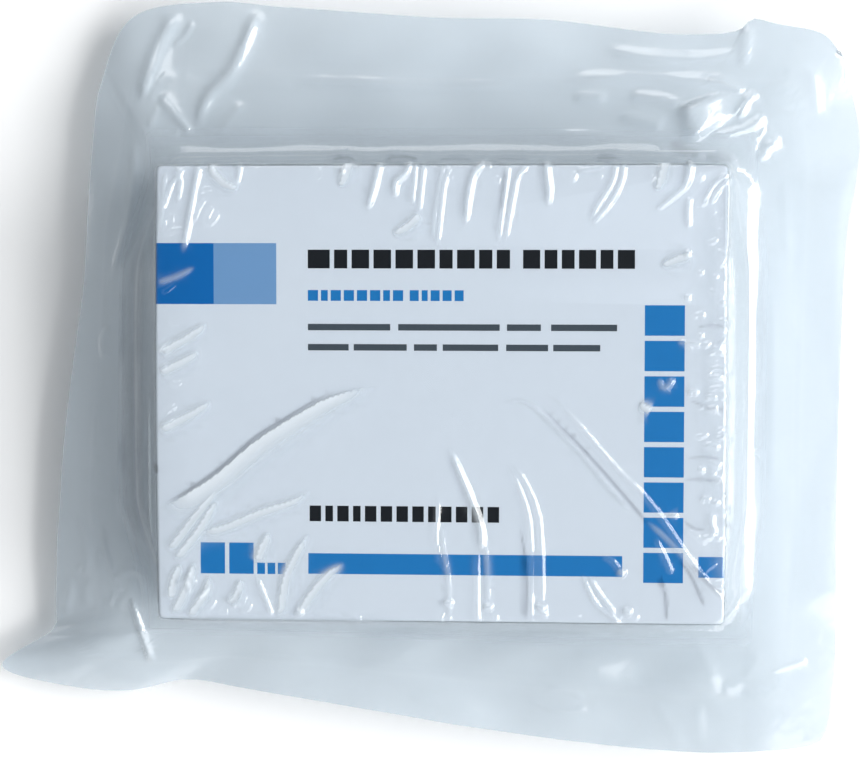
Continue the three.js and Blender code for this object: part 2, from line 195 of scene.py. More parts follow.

# Creases of the front film over the panel and its edges, and lines of painted shade, by kind, as points in
# mm.
PANEL_CREASES = {
    "long_fold": [
        [
            (-39.7, -16.1), (-37.2, -15.1), (-34.2, -13.3), (-31.4, -11.4), (-25.7, -6.6),
            (-19.4, -2.6), (-15.9, -0.7), (-12.2, 0.5), (-8.3, 1.3),
        ],
    ],
    "fan": [
        [(-38.6, -22.3), (-33.6, -15.9), (-30.5, -12.5)],
        [(-37.6, -23.5), (-34.2, -19.2), (-31.7, -15.5), (-30.4, -14.6)],
        [(-33.9, -19.5), (-30.1, -18.4), (-24.5, -16.1), (-20.9, -15), (-17.7, -13.4)],
        [(-25.9, -23.6), (-25.2, -21.5), (-23.9, -19.2)],
        [(-22.8, -31.8), (-21.8, -25.6), (-20.8, -23.3), (-18.3, -19.2)],
        [(-20.1, -31.3), (-19.1, -29.3), (-17.9, -27.5), (-16, -25.3), (-13.2, -23.5)],
        [(-37.8, -31.1), (-35.5, -26.3), (-34.5, -23.3)],
        [(-35.6, -31.4), (-33, -27.4), (-32.6, -25.4)],
        [(-38.2, -29.1), (-37.7, -26.3), (-36.5, -23.7)],
        [(-29.7, -29.6), (-28.7, -27.9), (-28, -25.9)],
        [(-39.7, -5.1), (-31.7, -0.9)],
        [(-39.6, 3), (-33.5, 6)],
        [(-39.6, 5.8), (-35.9, 7.8), (-32.4, 10)],
        [(-2.8, 25.3), (-4.8, 23.5), (-6.8, 22.3)],
        [(30.8, 32.7), (29.6, 28)],
        [(-12.8, 32.8), (-14, 28.6)],
        [(-32, 32.1), (-30.4, 30), (-27.8, 28.4)],
        [(30.3, 17.9), (32.4, 19.1), (34.7, 19.8)],
        [(29.4, -1.7), (27.7, -0.9)],
    ],
    "faint": [
        [(-39.6, 15.4), (-36.6, 16.4), (-34.1, 17.7)],
        [(-39.4, -31.8), (-2.7, -31.7)],
        [(0.2, -17.5), (0.5, -21), (1.2, -25.2), (1.4, -31.8)],
        [(5.9, -18.8), (6.6, -23), (6.8, -29.5)],
        [(8.4, -1.1), (10.5, -0.7), (12.7, -1.4), (18.4, -6.7), (23.9, -13.1), (27, -16.3)],
        [(28.5, -17.2), (31.1, -19.4), (33.9, -22.2), (36.7, -25.5)],
        [(18.6, 30.8), (22.8, 31.6)],
    ],
    "line": [
        [(-0.5, -13.4), (-0.3, -16.4), (-0.5, -20.3), (0.2, -22.8), (1.5, -25.3)],
        [(5.4, -20.9), (5.2, -25.8), (5.3, -32.6)],
        [(8.4, -8.5), (9.9, -10.5), (11.3, -13.5), (12.3, -16.7), (12.7, -20.9), (12.8, -32.5)],
        [(8.5, -8.5), (10.8, -10.5), (12.7, -13.7), (13.7, -16.8), (14.1, -20.8), (14.3, -30.2)],
        [(22.5, -22.2), (24, -23), (25.2, -24.6)],
        [(29.8, -19.4), (32.3, -24.8)],
        [
            (12.9, 0.6), (15.6, -0.4), (25, -10.6), (27.8, -13.3), (29.9, -15.8), (34.9, -22.9),
            (40.9, -30.5),
        ],
    ],
    "milky_line": [
        [(-25.8, -25.3), (-23.4, -31.4)],
        [(19.8, -24.6), (20.8, -27.1), (22.2, -29.4), (24.2, -30.9), (25.4, -32.3)],
        [(20.7, -25), (22.1, -27.3), (24.7, -30.7)],
        [(-3.3, 32.5), (-3.9, 25.9)],
        [(-2.2, 32.5), (-3, 24.8)],
        [(0.8, 32.5), (0.1, 30), (-0.4, 27), (-0.8, 23.5), (-0.8, 20.6)],
        [(1.9, 32), (0.8, 30), (-0.4, 20.1)],
        [(4.7, 31.8), (5.9, 31.9), (7.2, 31.6)],
        [(9.5, 32.4), (8, 20.6)],
        [(12.7, 32.2), (10.8, 30.3), (10.1, 27.5), (8.9, 20.6)],
        [(25.3, 32.7), (25, 29.7), (23.7, 27), (20.7, 23.2)],
        [(24.5, 32.4), (23.5, 29), (21.8, 26.3), (20.6, 23.7)],
        [(34.3, 29.3), (29.6, 25.4)],
        [(34.3, 27.5), (34.1, 25), (34.2, 22.8)],
        [(40.9, 31.3), (37.6, 29.1), (36, 25.9)],
        [(40.9, 30.8), (39.5, 29.7), (37.9, 27.9), (37, 26)],
        [(39.5, 31), (39.3, 18.5)],
        [(-36.8, 32), (-36.2, 29.5), (-36.7, 26.3)],
        [(-35.4, 31.7), (-37.4, 29.1), (-38.8, 24.9)],
        [(-27.8, 32.5), (-28, 30.3), (-28.4, 28.9)],
        [(-38.2, 31.1), (-39.1, 22.1)],
        [(38.4, 20.2), (39.7, 19)],
        [(38.4, 12.8), (39.4, 13)],
        [(38.2, 10.2), (39.1, 10.4), (39.8, 9.7)],
        [(37.5, 7.2), (38.2, 6.4), (38.9, 7.7), (39.6, 8.4)],
        [(36.7, 5.5), (37.8, 6.2), (39.2, 6)],
        [(36.7, 3.5), (38.1, 3.9), (39.7, 3.8)],
        [(36.7, 2.5), (39.1, 2.7)],
        [(36.6, 0.7), (38, 1.1), (39.6, 1.1)],
        [(36.4, -0.5), (37.4, 0), (38.4, -0.2)],
        [(36.6, -1.8), (38.4, -1.6)],
        [(37.5, -5.5), (38.7, -5.8), (39.7, -4.8)],
        [(36.3, -6.9), (37.5, -6.7), (38.7, -7.2)],
        [(35.6, -9.9), (36.6, -10.4)],
        [(36.1, -14.8), (36.6, -14.1), (37.6, -14.4)],
        [(37.6, -14.8), (38.7, -14.5)],
        [(37.9, -16), (37.6, -17.4), (38, -18.8), (37.2, -19.6), (36.1, -19.1)],
        [(31.7, -16.4), (33, -16.6)],
        [(32.6, 7.5), (36.2, 7.1)],
        [(33.6, 19.6), (34.5, 19.7)],
        [(33.6, 13.6), (34.6, 13.6)],
        [(30.2, 2.5), (31, 1.1), (32.4, 2.5)],
        [(34.3, 0), (34.8, 0.7), (35.7, 0.3)],
    ],
    "pleat": [
        [(1.2, -7), (4.9, -16), (5.8, -19.1), (5.8, -22.5)],
        [(-8.3, 32.5), (-8.6, 30.8), (-10.1, 25.3)],
        [(-3.9, 32.5), (-4.7, 30.8), (-6.1, 29.4), (-6.2, 27)],
        [(7.2, 32.5), (5, 31.1), (4.1, 28.6), (3.5, 23.1)],
        [(14.7, 32.7), (14.7, 30.8), (15, 28.3), (14.9, 25.9)],
        [(34.4, 32.7), (34.1, 30.2), (33.4, 28.3)],
        [(-33.4, 32.5), (-35.9, 19.3)],
    ],
    "bead": [
        [(-20.4, -30.5), (-19, -30.7)],
        [(6, -29.5), (7.5, -29.6)],
        [(13.3, -29.1), (14.9, -29.9)],
        [(0.5, -29), (1.9, -29.2)],
        [(24.7, -24.2), (25.8, -24.9)],
        [(25.4, -29.8), (26.8, -30.2)],
    ],
    "wall_line": [
        [(-41.7, 1.5), (-41.6, -8.5), (-41.7, -17.2), (-42.1, -25.8)],
    ],
    # Painted shade: dark lines of shadow beside folds and along the carton's left side.
    "dark": [
        [
            (-39.3, -15.7), (-37, -14.6), (-31.4, -10.9), (-25.7, -6), (-22.9, -4.2),
            (-15.9, -0.1), (-13.5, 0.7),
        ],
        [(11.1, -17.9), (11.8, -21.6), (12.2, -25.8), (12.1, -31.9)],
        [(30.6, -24.4), (31.3, -27.2), (31.6, -31.4)],
        [(32.8, -22.2), (34.8, -24.8), (36.9, -29.4)],
        [(34.7, -23), (37, -25.6), (39.9, -28.2)],
        [(13.6, -0.9), (16.4, -4), (19.5, -7), (27.8, -16.4), (29.5, -18.7)],
        [(9.1, 31.1), (8.3, 24.8)],
        [(-37.6, -21.3), (-35.1, -18.2), (-33.1, -16.1)],
        [(-42.8, -5.8), (-42.6, -16), (-42.9, -24.7)],
    ],
    "grey": [
        [(33.6, -11.6), (36, -11.5), (39.7, -11.9)],
        [(34.3, -0.5), (36.8, -1.4), (39.8, -2)],
        [(34.1, -8.6), (36.6, -8.4), (39, -8.8)],
        [(35.4, 9.5), (37.5, 9.8), (39.7, 9.5)],
        [(33.7, -17.2), (35.3, -18.3), (36.9, -18.5)],
    ],
    "speck": [
        [(-40.1, -9.7), (-39.8, -11.3)],
    ],
    "mist": [
        [(37.5, 29), (37.5, 13.2), (37.6, -3.3), (37.6, -22.7)],
        [(39.9, 28), (39.9, 0), (39.9, -30)],
        [(44.4, -5.8), (44.7, -18.9), (44.4, -36.5)],
    ],
    # Painted shadow: a broad band of darker film where the carton's shadow falls in the hollow to its left.
    "gloom": [
        [(-44.8, 25.2), (-45.2, 8.4), (-45.6, -9.2), (-45.4, -25.5)],
    ],
    "shade": [
        [(32, 35.9), (34.3, 34.7), (36.6, 33.7)],
        [(37.1, 33.7), (41.5, 33)],
    ],
    # Tunnels of film over the head edge, with the shade inside them painted dark.
    "tunnel": [
        [(-17.2, 32.7), (-14.8, 33.3), (-12.5, 32.5)],
        [(-9, 32.9), (-6.4, 33.5), (-3.6, 32.9)],
        [(-1.2, 32.9), (1.3, 33), (3.8, 32.9)],
        [(6.9, 32.9), (9.3, 32.9), (11.9, 32.9)],
        [(20.8, 32.9), (23.2, 33.2), (25.4, 32.8)],
    ],
}
GENTLE_WAY = (0.5, -0.85)  # the way that a fold's wider flank faces

# Small crinkles: low and high corner of the patch in mm, how many, their direction in degrees, their length
# in mm, and their height as a share of what their variety gives.
EDGE_CRINKLES = [
    ((35.2, -26), (39.4, 30), 34, 18, 1.9, 1),
    ((37.6, -30), (40.0, 31), 34, -12, 1.7, 1),
    ((-39.4, -10), (-36.8, 30), 14, 30, 2.6, 1),
    ((-39.2, 22), (-31, 31), 14, 70, 3.2, 1),
    ((-36, 29.6), (36, 31.4), 22, 84, 1.4, 1),
    ((-34, -31.2), (34, -29.4), 18, 98, 1.4, 1),
    ((-38.8, -30.8), (-26, -24), 12, 60, 3.2, 1),
]
FLANGE_CRINKLES = [
    ((36, 34), (46, 43), 6, 40, 3.0, 0.3),
    ((-54, -30), (-43, 34), 10, 84, 6.0, 0.25),
    ((-34, -48), (30, -35), 8, 6, 7.0, 0.08),
    ((-44, 36), (-28, 52), 7, 60, 6.0, 0.2),
    ((-56, -36), (-42, -24), 7, 70, 4.0, 0.3),
]
# How crinkles vary: spread of their direction in degrees, shares of their length, bend either way as a share
# of it, half width and height in mm, and how sharp the crest is.
EDGE_VARIETY = (24, (0.5, 1.3), 0.15, (0.22, 0.36), (0.14, 0.42), 1.5)
FLANGE_VARIETY = (14, (0.5, 1.5), 0.2, (0.5, 0.9), (0.4, 1), 1.8)
CRINKLE_SEED = 7
CREASE_STEPS = 8  # samples between two points of a crease
CREASE_REACH = 4  # in half widths, how far a crease lifts the film
# Shares of a crease's length, from its inner end, over which it widens and rises, and over which it dies out.
GROWN_BY = 0.4
INNER_TAPER = 0.2
OUTER_TAPER = 0.15
FAR = 1e9  # a length in mm beyond any other here
FINE_PASSES = 2
FINE_REACH = 2.0  # in half widths, how near a crease the web's faces are made finer
FINE_SHARE = 0.84  # longest edge of a face there, as a share of the crease's half width
# Shallow waves of the flange: direction, length in mm, phase and height in mm.
WAVES = [
    (0.3, 21, 0.5, 0.16),
    (1.4, 17, 2.1, 0.14),
    (2.5, 12.5, 4.0, 0.08),
    (0.9, 9.3, 1.2, 0.05),
    (2.0, 7.1, 5.2, 0.035),
]
# On the right side the flange is pulled smooth: the share of the waves left there, and, in mm along X, where
# they start to fade and how far it takes.
SMOOTH_SIDE = 0.25
SMOOTH_STARTS = 36
SMOOTH_TAKES = 8

# Creases of the flange, where the two webs lie on each other, by kind.
FLANGE_CREASES = {
    "swell": [
        [(-28, 55.5), (-31.9, 46.3), (-35.2, 42.5), (-37.1, 37.7)],
        [(-40.3, 55.5), (-42.9, 50.7), (-44.2, 46.6), (-45.3, 41.6)],
    ],
    "dent": [
        [(34.4, 41.4), (35, 39.7), (35.4, 37.9), (36.3, 35.9)],
    ],
    "fold": [
        [(36.7, 44.9), (39.6, 44.3), (43.2, 42.8)],
        [(44.8, 43), (43.3, 41.5), (42.2, 39.1)],
        [(36.5, 35.9), (43.7, 38), (46.2, 39.6)],
        [(45.4, 34.7), (48, 36)],
        [(-42.6, 43), (-37.4, 36.9)],
        [(-46.1, 36.4), (-46.9, 25.8), (-49.8, 15.7)],
        [(26.1, 42.6), (29.5, 42.3), (32.2, 41.7), (34.4, 40.8)],
        [(41.5, 39.9), (42.6, 41.1), (43.9, 42.5)],
    ],
    "steep": [
        [(-47.4, -30.9), (-45.6, -36.4), (-44.4, -42)],
    ],
    "low": [
        [(43.5, 52.7), (42.9, 46.6)],
        [(22.2, 50), (27.4, 48.4), (37.2, 47.9), (42.4, 48.9)],
        [(16.4, 44.9), (22.2, 45.2), (37.3, 44.6), (42.2, 43.4)],
        [(26.3, 42.3), (33.2, 41.8)],
        [(24.9, 39.8), (31.5, 38.2)],
        [(32.6, 36.2), (35.2, 34.7), (41.5, 33.3)],
        [(-41, 35.5), (-36.5, 36), (-31.3, 34.9)],
        [(-23.2, 44.9), (-15.8, 44.8), (-4, 44), (10.6, 44.4)],
        [(-15.8, 35.9), (-4, 35.3), (7.7, 35.8)],
        [(-55.8, -19.4), (-54, -23.1), (-54.3, -29.4)],
        [(-56.8, -29.2), (-58.3, -34.9)],
        [(-49.9, -29.1), (-47.7, -27.6), (-45.4, -26.9)],
        [(15.3, 37.1), (22.3, 36.7), (26.6, 36.1), (31.8, 35.4)],
        [(18.3, 42.4), (23.1, 42.4)],
        [(-49.3, -28.6), (-48, -27.6), (-46.2, -27.4), (-44.4, -29)],
        [(-55.6, -20), (-54.5, -22.2), (-53.9, -25.8)],
    ],
    "small": [
        [(39.2, 34.6), (40.6, 36.5)],
        [(42.3, 34.2), (44.8, 37.9)],
        [(44, 33.7), (46, 38.3)],
        [(47.6, -41.5), (53.1, -39.7)],
    ],
    "trace": [
        [(48.2, 46.1), (52.2, 46.1), (53.7, 38.7)],
        [(35.6, -34.4), (38, -39.3), (40, -44.7)],
        [(40, -44.7), (43.4, -42.8), (46.4, -38.4)],
        [(30.8, -46.1), (35.1, -53.7)],
        [(37, -46), (37.5, -53.4)],
        [(47.6, 14.4), (47.5, -14.8)],
        [(48.8, 31.1), (49.5, 19.1)],
        [(47.1, 13), (47.7, 9.3)],
    ],
}


def linear(code):
    """Linear colour of an sRGB hex value."""
    parts = [int(code[i : i + 2], 16) / 255 for i in (1, 3, 5)]
    return tuple(c / 12.92 if c <= 0.04045 else ((c + 0.055) / 1.055) ** 2.4 for c in parts)


def length_property(name, description, default):
    """A size that a user may change, in metres."""
    return FloatProperty(name=name, description=description, default=default, unit="LENGTH", precision=5)


def colour_property(name, description, code):
    """A colour that a user may change, given as an sRGB hex value."""
    return FloatVectorProperty(
        name=name, description=description, default=linear(code), subtype="COLOR", size=3, min=0, max=1
    )


class SLIDES_PG_carton(PropertyGroup):
    """Sizes and print colours of the carton"""

    corner: length_property("Corner", "Radius of the upright corners", 0.7 * MM)
    edge: length_property("Edge", "Radius of the creased edges", 0.4 * MM)
    card: length_property("Card", "Thickness of the card", 0.6 * MM)
    reveal: length_property("Tray reveal", "Height of tray below the lid's skirt", 5 * MM)
    bow: length_property("Wall bow", "How far the left wall swells out", 0.9 * MM)
    edge_bow: length_property("Edge bow", "How far the left edge of a panel swells out", 0.35 * MM)
    board: colour_property("Board", "Coated white board", "#d8dce4")
    deep_blue: colour_property("Deep blue", "Left block of the panel", "#0066ad")
    pale_blue: colour_property("Pale blue", "Block beside the deep blue one", "#739ac4")
    bar_blue: colour_property("Bar blue", "Rules and the upright run of blocks", "#1b77b8")
    black: colour_property("Black", "Heading blocks", "#12161c")
    grey: colour_property("Grey", "Small lines", "#454d55")


class SLIDES_PG_film(PropertyGroup):
    """Sizes and colours of the pouch film"""

    thickness: length_property("Thickness", "Thickness of one web", 0.15 * MM)
    clearance: length_property("Clearance", "Gap between film and card", 0.1 * MM)
    seam_gap: length_property("Seam gap", "Gap between the webs where they cling", 0.2 * MM)
    seal_gap: length_property("Seal gap", "Gap between the webs in the heat seal", 0.04 * MM)
    seam_height: length_property("Seam height", "Level at which the webs meet", 12 * MM)
    corner_lean: length_property("Corner stand-off", "Film off the foot of an upright corner", 0.9 * MM)
    right_lean: length_property("Right stand-off", "Film off the foot of the right wall", 2.8 * MM)
    head_lean: length_property("Head stand-off", "Film off the foot of the head wall", 1.1 * MM)
    left_lean: length_property("Left stand-off", "Film off the foot of the left wall", 4.4 * MM)
    foot_lean: length_property("Foot stand-off", "Film off the foot of the foot wall", 1.1 * MM)
    foot_radius: length_property("Foot radius", "Hollow where a wall turns into the flange", 3 * MM)
    haze_colour: colour_property("Haze", "Milky scatter in the film", "#e4ecf3")
    tint: colour_property("Tint", "Colour that passes one skin of the film", "#fbfdfe")


class SLIDES_PG_stage(PropertyGroup):
    """Floor and camera of the studio"""

    floor_colour: colour_property("Floor", "Pale studio floor", "#fbfcfd")
    camera_distance: length_property("Camera distance", "From the carton's panel to the camera", 0.3)
    lens: FloatProperty(name="Lens", description="Focal length in mm", default=89.7)


def new_node(tree, kind, inputs=None, **settings):
    """Adds a shader node with its settings; inputs maps a socket to a value or to another node's socket."""
    node = tree.nodes.new(kind)
    for name, value in settings.items():
        setattr(node, name, value)
    for key, value in (inputs or {}).items():
        if isinstance(value, bpy.types.NodeSocket):
            tree.links.new(value, node.inputs[key])
        else:
            node.inputs[key].default_value = value
    return node


def empty_material(name):
    """A material with only its output node."""
    material = bpy.data.materials.new(name)
    material.use_nodes = True
    material.node_tree.nodes.clear()
    output = material.node_tree.nodes.new("ShaderNodeOutputMaterial")
    return material, material.node_tree, output


def finish_surface(tree, output, shader):
    """Links a shader node's first output to the surface."""
    tree.links.new(shader.outputs[0], output.inputs["Surface"])


def card_material(name, colour, ink):
    """Coated white board, calendered and offset printed: smooth, with faint fibre and a soft sheen."""
    material, tree, output = empty_material(name)
    place = new_node(tree, "ShaderNodeTexCoord")
    fibre = new_node(
        tree,
        "ShaderNodeTexNoise",
        {"Vector": place.outputs["Object"], "Scale": 1 / (FIBRE_SIZE * MM), "Detail": 3.0, "Roughness": 0.6},
    )
    mottle = new_node(
        tree,
        "ShaderNodeTexNoise",
        {"Vector": place.outputs["Object"], "Scale": 1 / (MOTTLE_SIZE * MM), "Detail": 2.0},
    )
    low = (*[0.955 * c for c in colour], 1)
    high = (*[min(1, 1.02 * c) for c in colour], 1)
    shade = new_node(
        tree, "ShaderNodeMix", {"Factor": fibre.outputs["Fac"], "A": low, "B": high}, data_type="RGBA"
    )
    patch = new_node(
        tree,
        "ShaderNodeMix",
        {"Factor": mottle.outputs["Fac"], "A": shade.outputs["Result"], "B": (0.965, 0.97, 0.975, 1)},
        data_type="RGBA",
        blend_type="MULTIPLY",
    )
    bump = new_node(
        tree,
        "ShaderNodeBump",
        {"Height": fibre.outputs["Fac"], "Strength": 0.12, "Distance": 0.02 * MM},
    )
    body = new_node(
        tree,
        "ShaderNodeBsdfPrincipled",
        {
            "Base Color": patch.outputs["Result"],
            "Roughness": 0.42 if ink else 0.5,
            "IOR": 1.5,
            "Specular IOR Level": 0.2,
            "Normal": bump.outputs["Normal"],
        },
    )
    finish_surface(tree, output, body)
    return material


def film_material(name, haze_colour, tint):
    """Clear nylon and polyethylene pouch film, blown and laminated: mirror-like gloss over a faint haze."""
    material, tree, output = empty_material(name)
    place = new_node(tree, "ShaderNodeTexCoord")
    ripple = new_node(
        tree,
        "ShaderNodeTexNoise",
        {
            "Vector": place.outputs["Object"],
            "Scale": 1 / (FILM_RIPPLE * MM),
            "Detail": 4.0,
            "Roughness": 0.55,
            "Distortion": 1.2,
        },
    )
    bump = new_node(
        tree,
        "ShaderNodeBump",
        {"Height": ripple.outputs["Fac"], "Strength": 0.5, "Distance": 0.12 * MM},
    )
    # The film is clear where it clings to the panel, and turns milky where the two webs lie on each other.
    # Over a fold's veil the value passes 1, so it isn't clamped.
    milky = new_node(tree, "ShaderNodeAttribute", attribute_name="milky")
    share = new_node(
        tree,
        "ShaderNodeMapRange",
        {"Value": milky.outputs["Fac"], "To Min": CLEAR_HAZE, "To Max": FLANGE_HAZE},
        clamp=False,
    )
    # Painted shade: a darker tint of the film stands in for the shadow along folds, edges and the left
    # hollow.
    painted_shade = new_node(tree, "ShaderNodeAttribute", attribute_name="painted_shade")
    passed = new_node(
        tree,
        "ShaderNodeMix",
        {"Factor": painted_shade.outputs["Fac"], "A": (*tint, 1), "B": (*PAINTED_SHADE_TINT, 1)},
        data_type="RGBA",
    )
    clear = new_node(tree, "ShaderNodeBsdfTransparent", {"Color": passed.outputs["Result"]})
    haze = new_node(tree, "ShaderNodeBsdfDiffuse", {"Color": (*haze_colour, 1)})
    body = new_node(
        tree, "ShaderNodeMixShader", {0: share.outputs[0], 1: clear.outputs[0], 2: haze.outputs[0]}
    )
    gloss = new_node(
        tree,
        "ShaderNodeBsdfGlossy",
        {"Color": (1, 1, 1, 1), "Roughness": 0.12, "Normal": bump.outputs["Normal"]},
    )
    mirror = new_node(tree, "ShaderNodeFresnel", {"IOR": 1.7, "Normal": bump.outputs["Normal"]})
    # Only the side that faces out mirrors, because a straight ray inside the film would mirror whole at a
    # slant.
    side = new_node(tree, "ShaderNodeNewGeometry")
    front = new_node(tree, "ShaderNodeMath", {0: 1.0, 1: side.outputs["Backfacing"]}, operation="SUBTRACT")
    mirrored = new_node(
        tree, "ShaderNodeMath", {0: mirror.outputs[0], 1: front.outputs[0]}, operation="MULTIPLY"
    )
    surface = new_node(
        tree, "ShaderNodeMixShader", {0: mirrored.outputs[0], 1: body.outputs[0], 2: gloss.outputs[0]}
    )
    finish_surface(tree, output, surface)
    return material


def floor_material(colour):
    """Matt pale studio paper."""
    material, tree, output = empty_material("studio_paper_matt")
    body = new_node(
        tree,
        "ShaderNodeBsdfPrincipled",
        {"Base Color": (*colour, 1), "Roughness": 0.9, "Specular IOR Level": 0.1},
    )
    finish_surface(tree, output, body)
    return material


def object_from(bm, name, materials):
    """Makes a smooth-shaded object from a bmesh whose sizes are in mm."""
    bmesh.ops.scale(bm, vec=(MM, MM, MM), verts=bm.verts)
    mesh = bpy.data.meshes.new(name)
    for material in materials:
        mesh.materials.append(material)
    for face in bm.faces:
        face.smooth = True
    bm.to_mesh(mesh)
    bm.free()
    ob = bpy.data.objects.new(name, mesh)
    bpy.context.scene.collection.objects.link(ob)
    return ob


# Carton ---------------------------------------------------------------------------------------------


def word_blocks(left, right, low, high, widths, gap):
    """A word set as plain blocks: blocks in given proportions between two ends, with gaps."""
    unit = (right - left - gap * (len(widths) - 1)) / sum(widths)
    blocks = []
    for width in widths:
        blocks.append((left, low, left + width * unit, high))
        left += width * unit + gap
    return blocks


def print_fields():
    """The panel's printed fields as (ink, list of rectangles in mm: left, low, right, high)."""
    heading = word_blocks(-18.4, 9.7, 17.5, 20.1, (5, 3, 4, 4, 4, 4, 3, 4, 3, 3), 0.6)
    heading += word_blocks(11.5, 26.9, 17.5, 20.1, (4, 3, 3, 4, 3, 4), 0.6)
    second = word_blocks(-18.4, -5.1, 13.0, 14.5, (3, 2, 3, 3, 3, 3, 2, 3), 0.4)
    second += word_blocks(-4.2, 3.3, 13.0, 14.5, (3, 2, 3, 3, 3), 0.4)
    first_line = [(-18.4, -6.9), (-5.8, 8.3), (9.3, 14), (15.4, 24.5)]
    second_line = [(-18.4, -12.7), (-12, -4.6), (-3.6, -0.4), (0.4, 8.1), (9.2, 15), (15.7, 22.2)]
    small = [(left, 8.9, right, 9.8) for left, right in first_line]
    small += [(left, 6.1, right, 7.0) for left, right in second_line]
    code = word_blocks(-18.2, 8.3, -17.8, -15.6, (3, 2, 3, 2, 3, 3, 3, 3, 2, 3, 3, 3, 3), 0.6)
    count = word_blocks(-33.6, -26.1, -25.3, -20.9, (1, 1), 0.6)
    count += word_blocks(-25.6, -21.6, -25.3, -23.7, (1, 1, 1), 0.35)
    upright = [(28.3, low, 33.8, low + 4.2) for low in (-26, -21.1, -16.2, -11.3, -6.4, -1.5, 3.4, 8.3)]
    rules = [(-18.4, -25.2, 25.4, -22.3), (35.9, -25.2, PAST_EDGE, -22.3)]
    return [
        ("deep_blue", [(-PAST_EDGE, 12.5, -31.6, 21)]),
        ("pale_blue", [(-31.6, 12.5, -22.8, 21)]),
        ("black", heading + code),
        ("bar_blue", second + count + upright + rules),
        ("grey", small),
    ]


def cut_faces(bm, faces, place, normal):
    """Cuts faces with a plane. The dict lists each shared corner and edge once, in the order of the faces."""
    parts = dict.fromkeys(item for face in faces for item in (*face.verts, *face.edges))
    bmesh.ops.bisect_plane(bm, geom=[*parts, *faces], dist=CUT_SLACK, plane_co=place, plane_no=normal)


def cut_rectangle(bm, level, rectangle, slot):
    """Cuts a rectangle into the faces above a level and gives its faces a material slot."""
    left, low, right, high = rectangle
    planes = [
        ((left, 0, 0), (1, 0, 0)),
        ((right, 0, 0), (1, 0, 0)),
        ((0, low, 0), (0, 1, 0)),
        ((0, high, 0), (0, 1, 0)),
    ]

    def touched():
        hit = []
        for face in bm.faces:
            xs = [v.co.x for v in face.verts]
            ys = [v.co.y for v in face.verts]
            on_panel = all(v.co.z > level for v in face.verts)
            if on_panel and max(xs) > left and min(xs) < right and max(ys) > low and min(ys) < high:
                hit.append(face)
        return hit

    for place, normal in planes:
        cut_faces(bm, touched(), place, normal)
    for face in touched():
        centre = face.calc_center_median()
        if left < centre.x < right and low < centre.y < high:
            face.material_index = slot


def wall_bow(sizes, y, z):
    """How far the left wall swells out, in mm, at a place on it."""
    straight = HALVES[1] - sizes.corner / MM
    along = np.cos(math.pi * (0.5 - CORNER_SHARE) * np.clip(y / straight, -1.25, 1.25))
    up = np.clip((z - CARTON_LOW.z / MM) / (CARTON_DEPTH / MM), 0, 1)
    return (sizes.edge_bow + (sizes.bow - sizes.edge_bow) * np.sin(math.pi * up)) / MM * along


def carton_mesh(sizes):
    """The closed carton: a lid whose skirt stops short of the tray's underside."""
    length, width = CARTON_LENGTH / MM, CARTON_WIDTH / MM
    bottom, top = CARTON_LOW.z / MM, CARTON_HIGH.z / MM
    corner, edge, card = sizes.corner / MM, sizes.edge / MM, sizes.card / MM
    skirt_foot = bottom + sizes.reveal / MM
    bm = bmesh.new()
    bmesh.ops.create_cube(bm, size=1)
    bmesh.ops.scale(bm, vec=(length, width, top - skirt_foot), verts=bm.verts)
    bmesh.ops.translate(bm, vec=(0, 0, (top + skirt_foot) / 2), verts=bm.verts)
    upright = [e for e in bm.edges if abs(e.verts[0].co.z - e.verts[1].co.z) > 1]
    turned = {"affect": "EDGES", "profile": 0.5, "material": -1}
    bmesh.ops.bevel(bm, geom=upright, offset=corner, segments=CORNER_SEGMENTS, **turned)
    under = min(bm.faces, key=lambda f: f.calc_center_median().z)
    bmesh.ops.inset_region(bm, faces=[under], thickness=card, depth=0)
    grown = bmesh.ops.extrude_face_region(bm, geom=[under])
    low_verts = [v for v in grown["geom"] if isinstance(v, bmesh.types.BMVert)]
    bmesh.ops.translate(bm, vec=(0, 0, bottom - skirt_foot), verts=low_verts)
    bmesh.ops.delete(bm, geom=[f for f in bm.faces if f == under], context="FACES_ONLY")
    rims = [e for e in bm.edges if all(v.co.z > top - LEVEL_SLACK for v in e.verts)]
    rims += [e for e in bm.edges if all(v.co.z < bottom + LEVEL_SLACK for v in e.verts)]
    bmesh.ops.bevel(bm, geom=rims, offset=edge, segments=EDGE_SEGMENTS, **turned)
    for i in range(1, BOW_STEPS):
        for normal, low, high in (((0, 1, 0), -width / 2, width / 2), ((0, 0, 1), bottom, top)):
            at = low + (high - low) * i / BOW_STEPS
            side = [f for f in bm.faces if f.calc_center_median().x < -length / 2 + edge + card]
            cut_faces(bm, side, Vector(normal) * at, normal)
    for vert in bm.verts:
        if vert.co.x < -length / 2 + edge + card + 0.05:
            vert.co.x -= wall_bow(sizes, vert.co.y, vert.co.z)
    for index, (_, rectangles) in enumerate(print_fields()):
        for rectangle in rectangles:
            cut_rectangle(bm, top - edge - LEVEL_SLACK, rectangle, index + 1)
    bmesh.ops.recalc_face_normals(bm, faces=bm.faces)
    return bm


class SLIDES_OT_carton(Operator):
    """Make the printed card carton"""

    bl_idname = "slides.carton"
    bl_label = "Carton"

    def execute(self, context):
        sizes = context.scene.slides_carton
        materials = [card_material("board_coated_white", sizes.board, False)]
        for slot, _ in print_fields():
            materials.append(card_material(f"ink_offset_{slot}", getattr(sizes, slot), True))
        carton = object_from(carton_mesh(sizes), "printed_carton", materials)
        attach(carton, "root")
        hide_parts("carton")
        return {"FINISHED"}


# Film -----------------------------------------------------------------------------------------------


def side_frame(side):
    """Direction that a side faces, the one its stations run in, and the carton's halves in mm."""
    angle = side * math.pi / 2
    facing = np.array([round(math.cos(angle)), round(math.sin(angle))], float)
    along = np.array([-facing[1], facing[0]])
    across, length = HALVES if side % 2 == 0 else HALVES[::-1]
    return facing, along, across, length


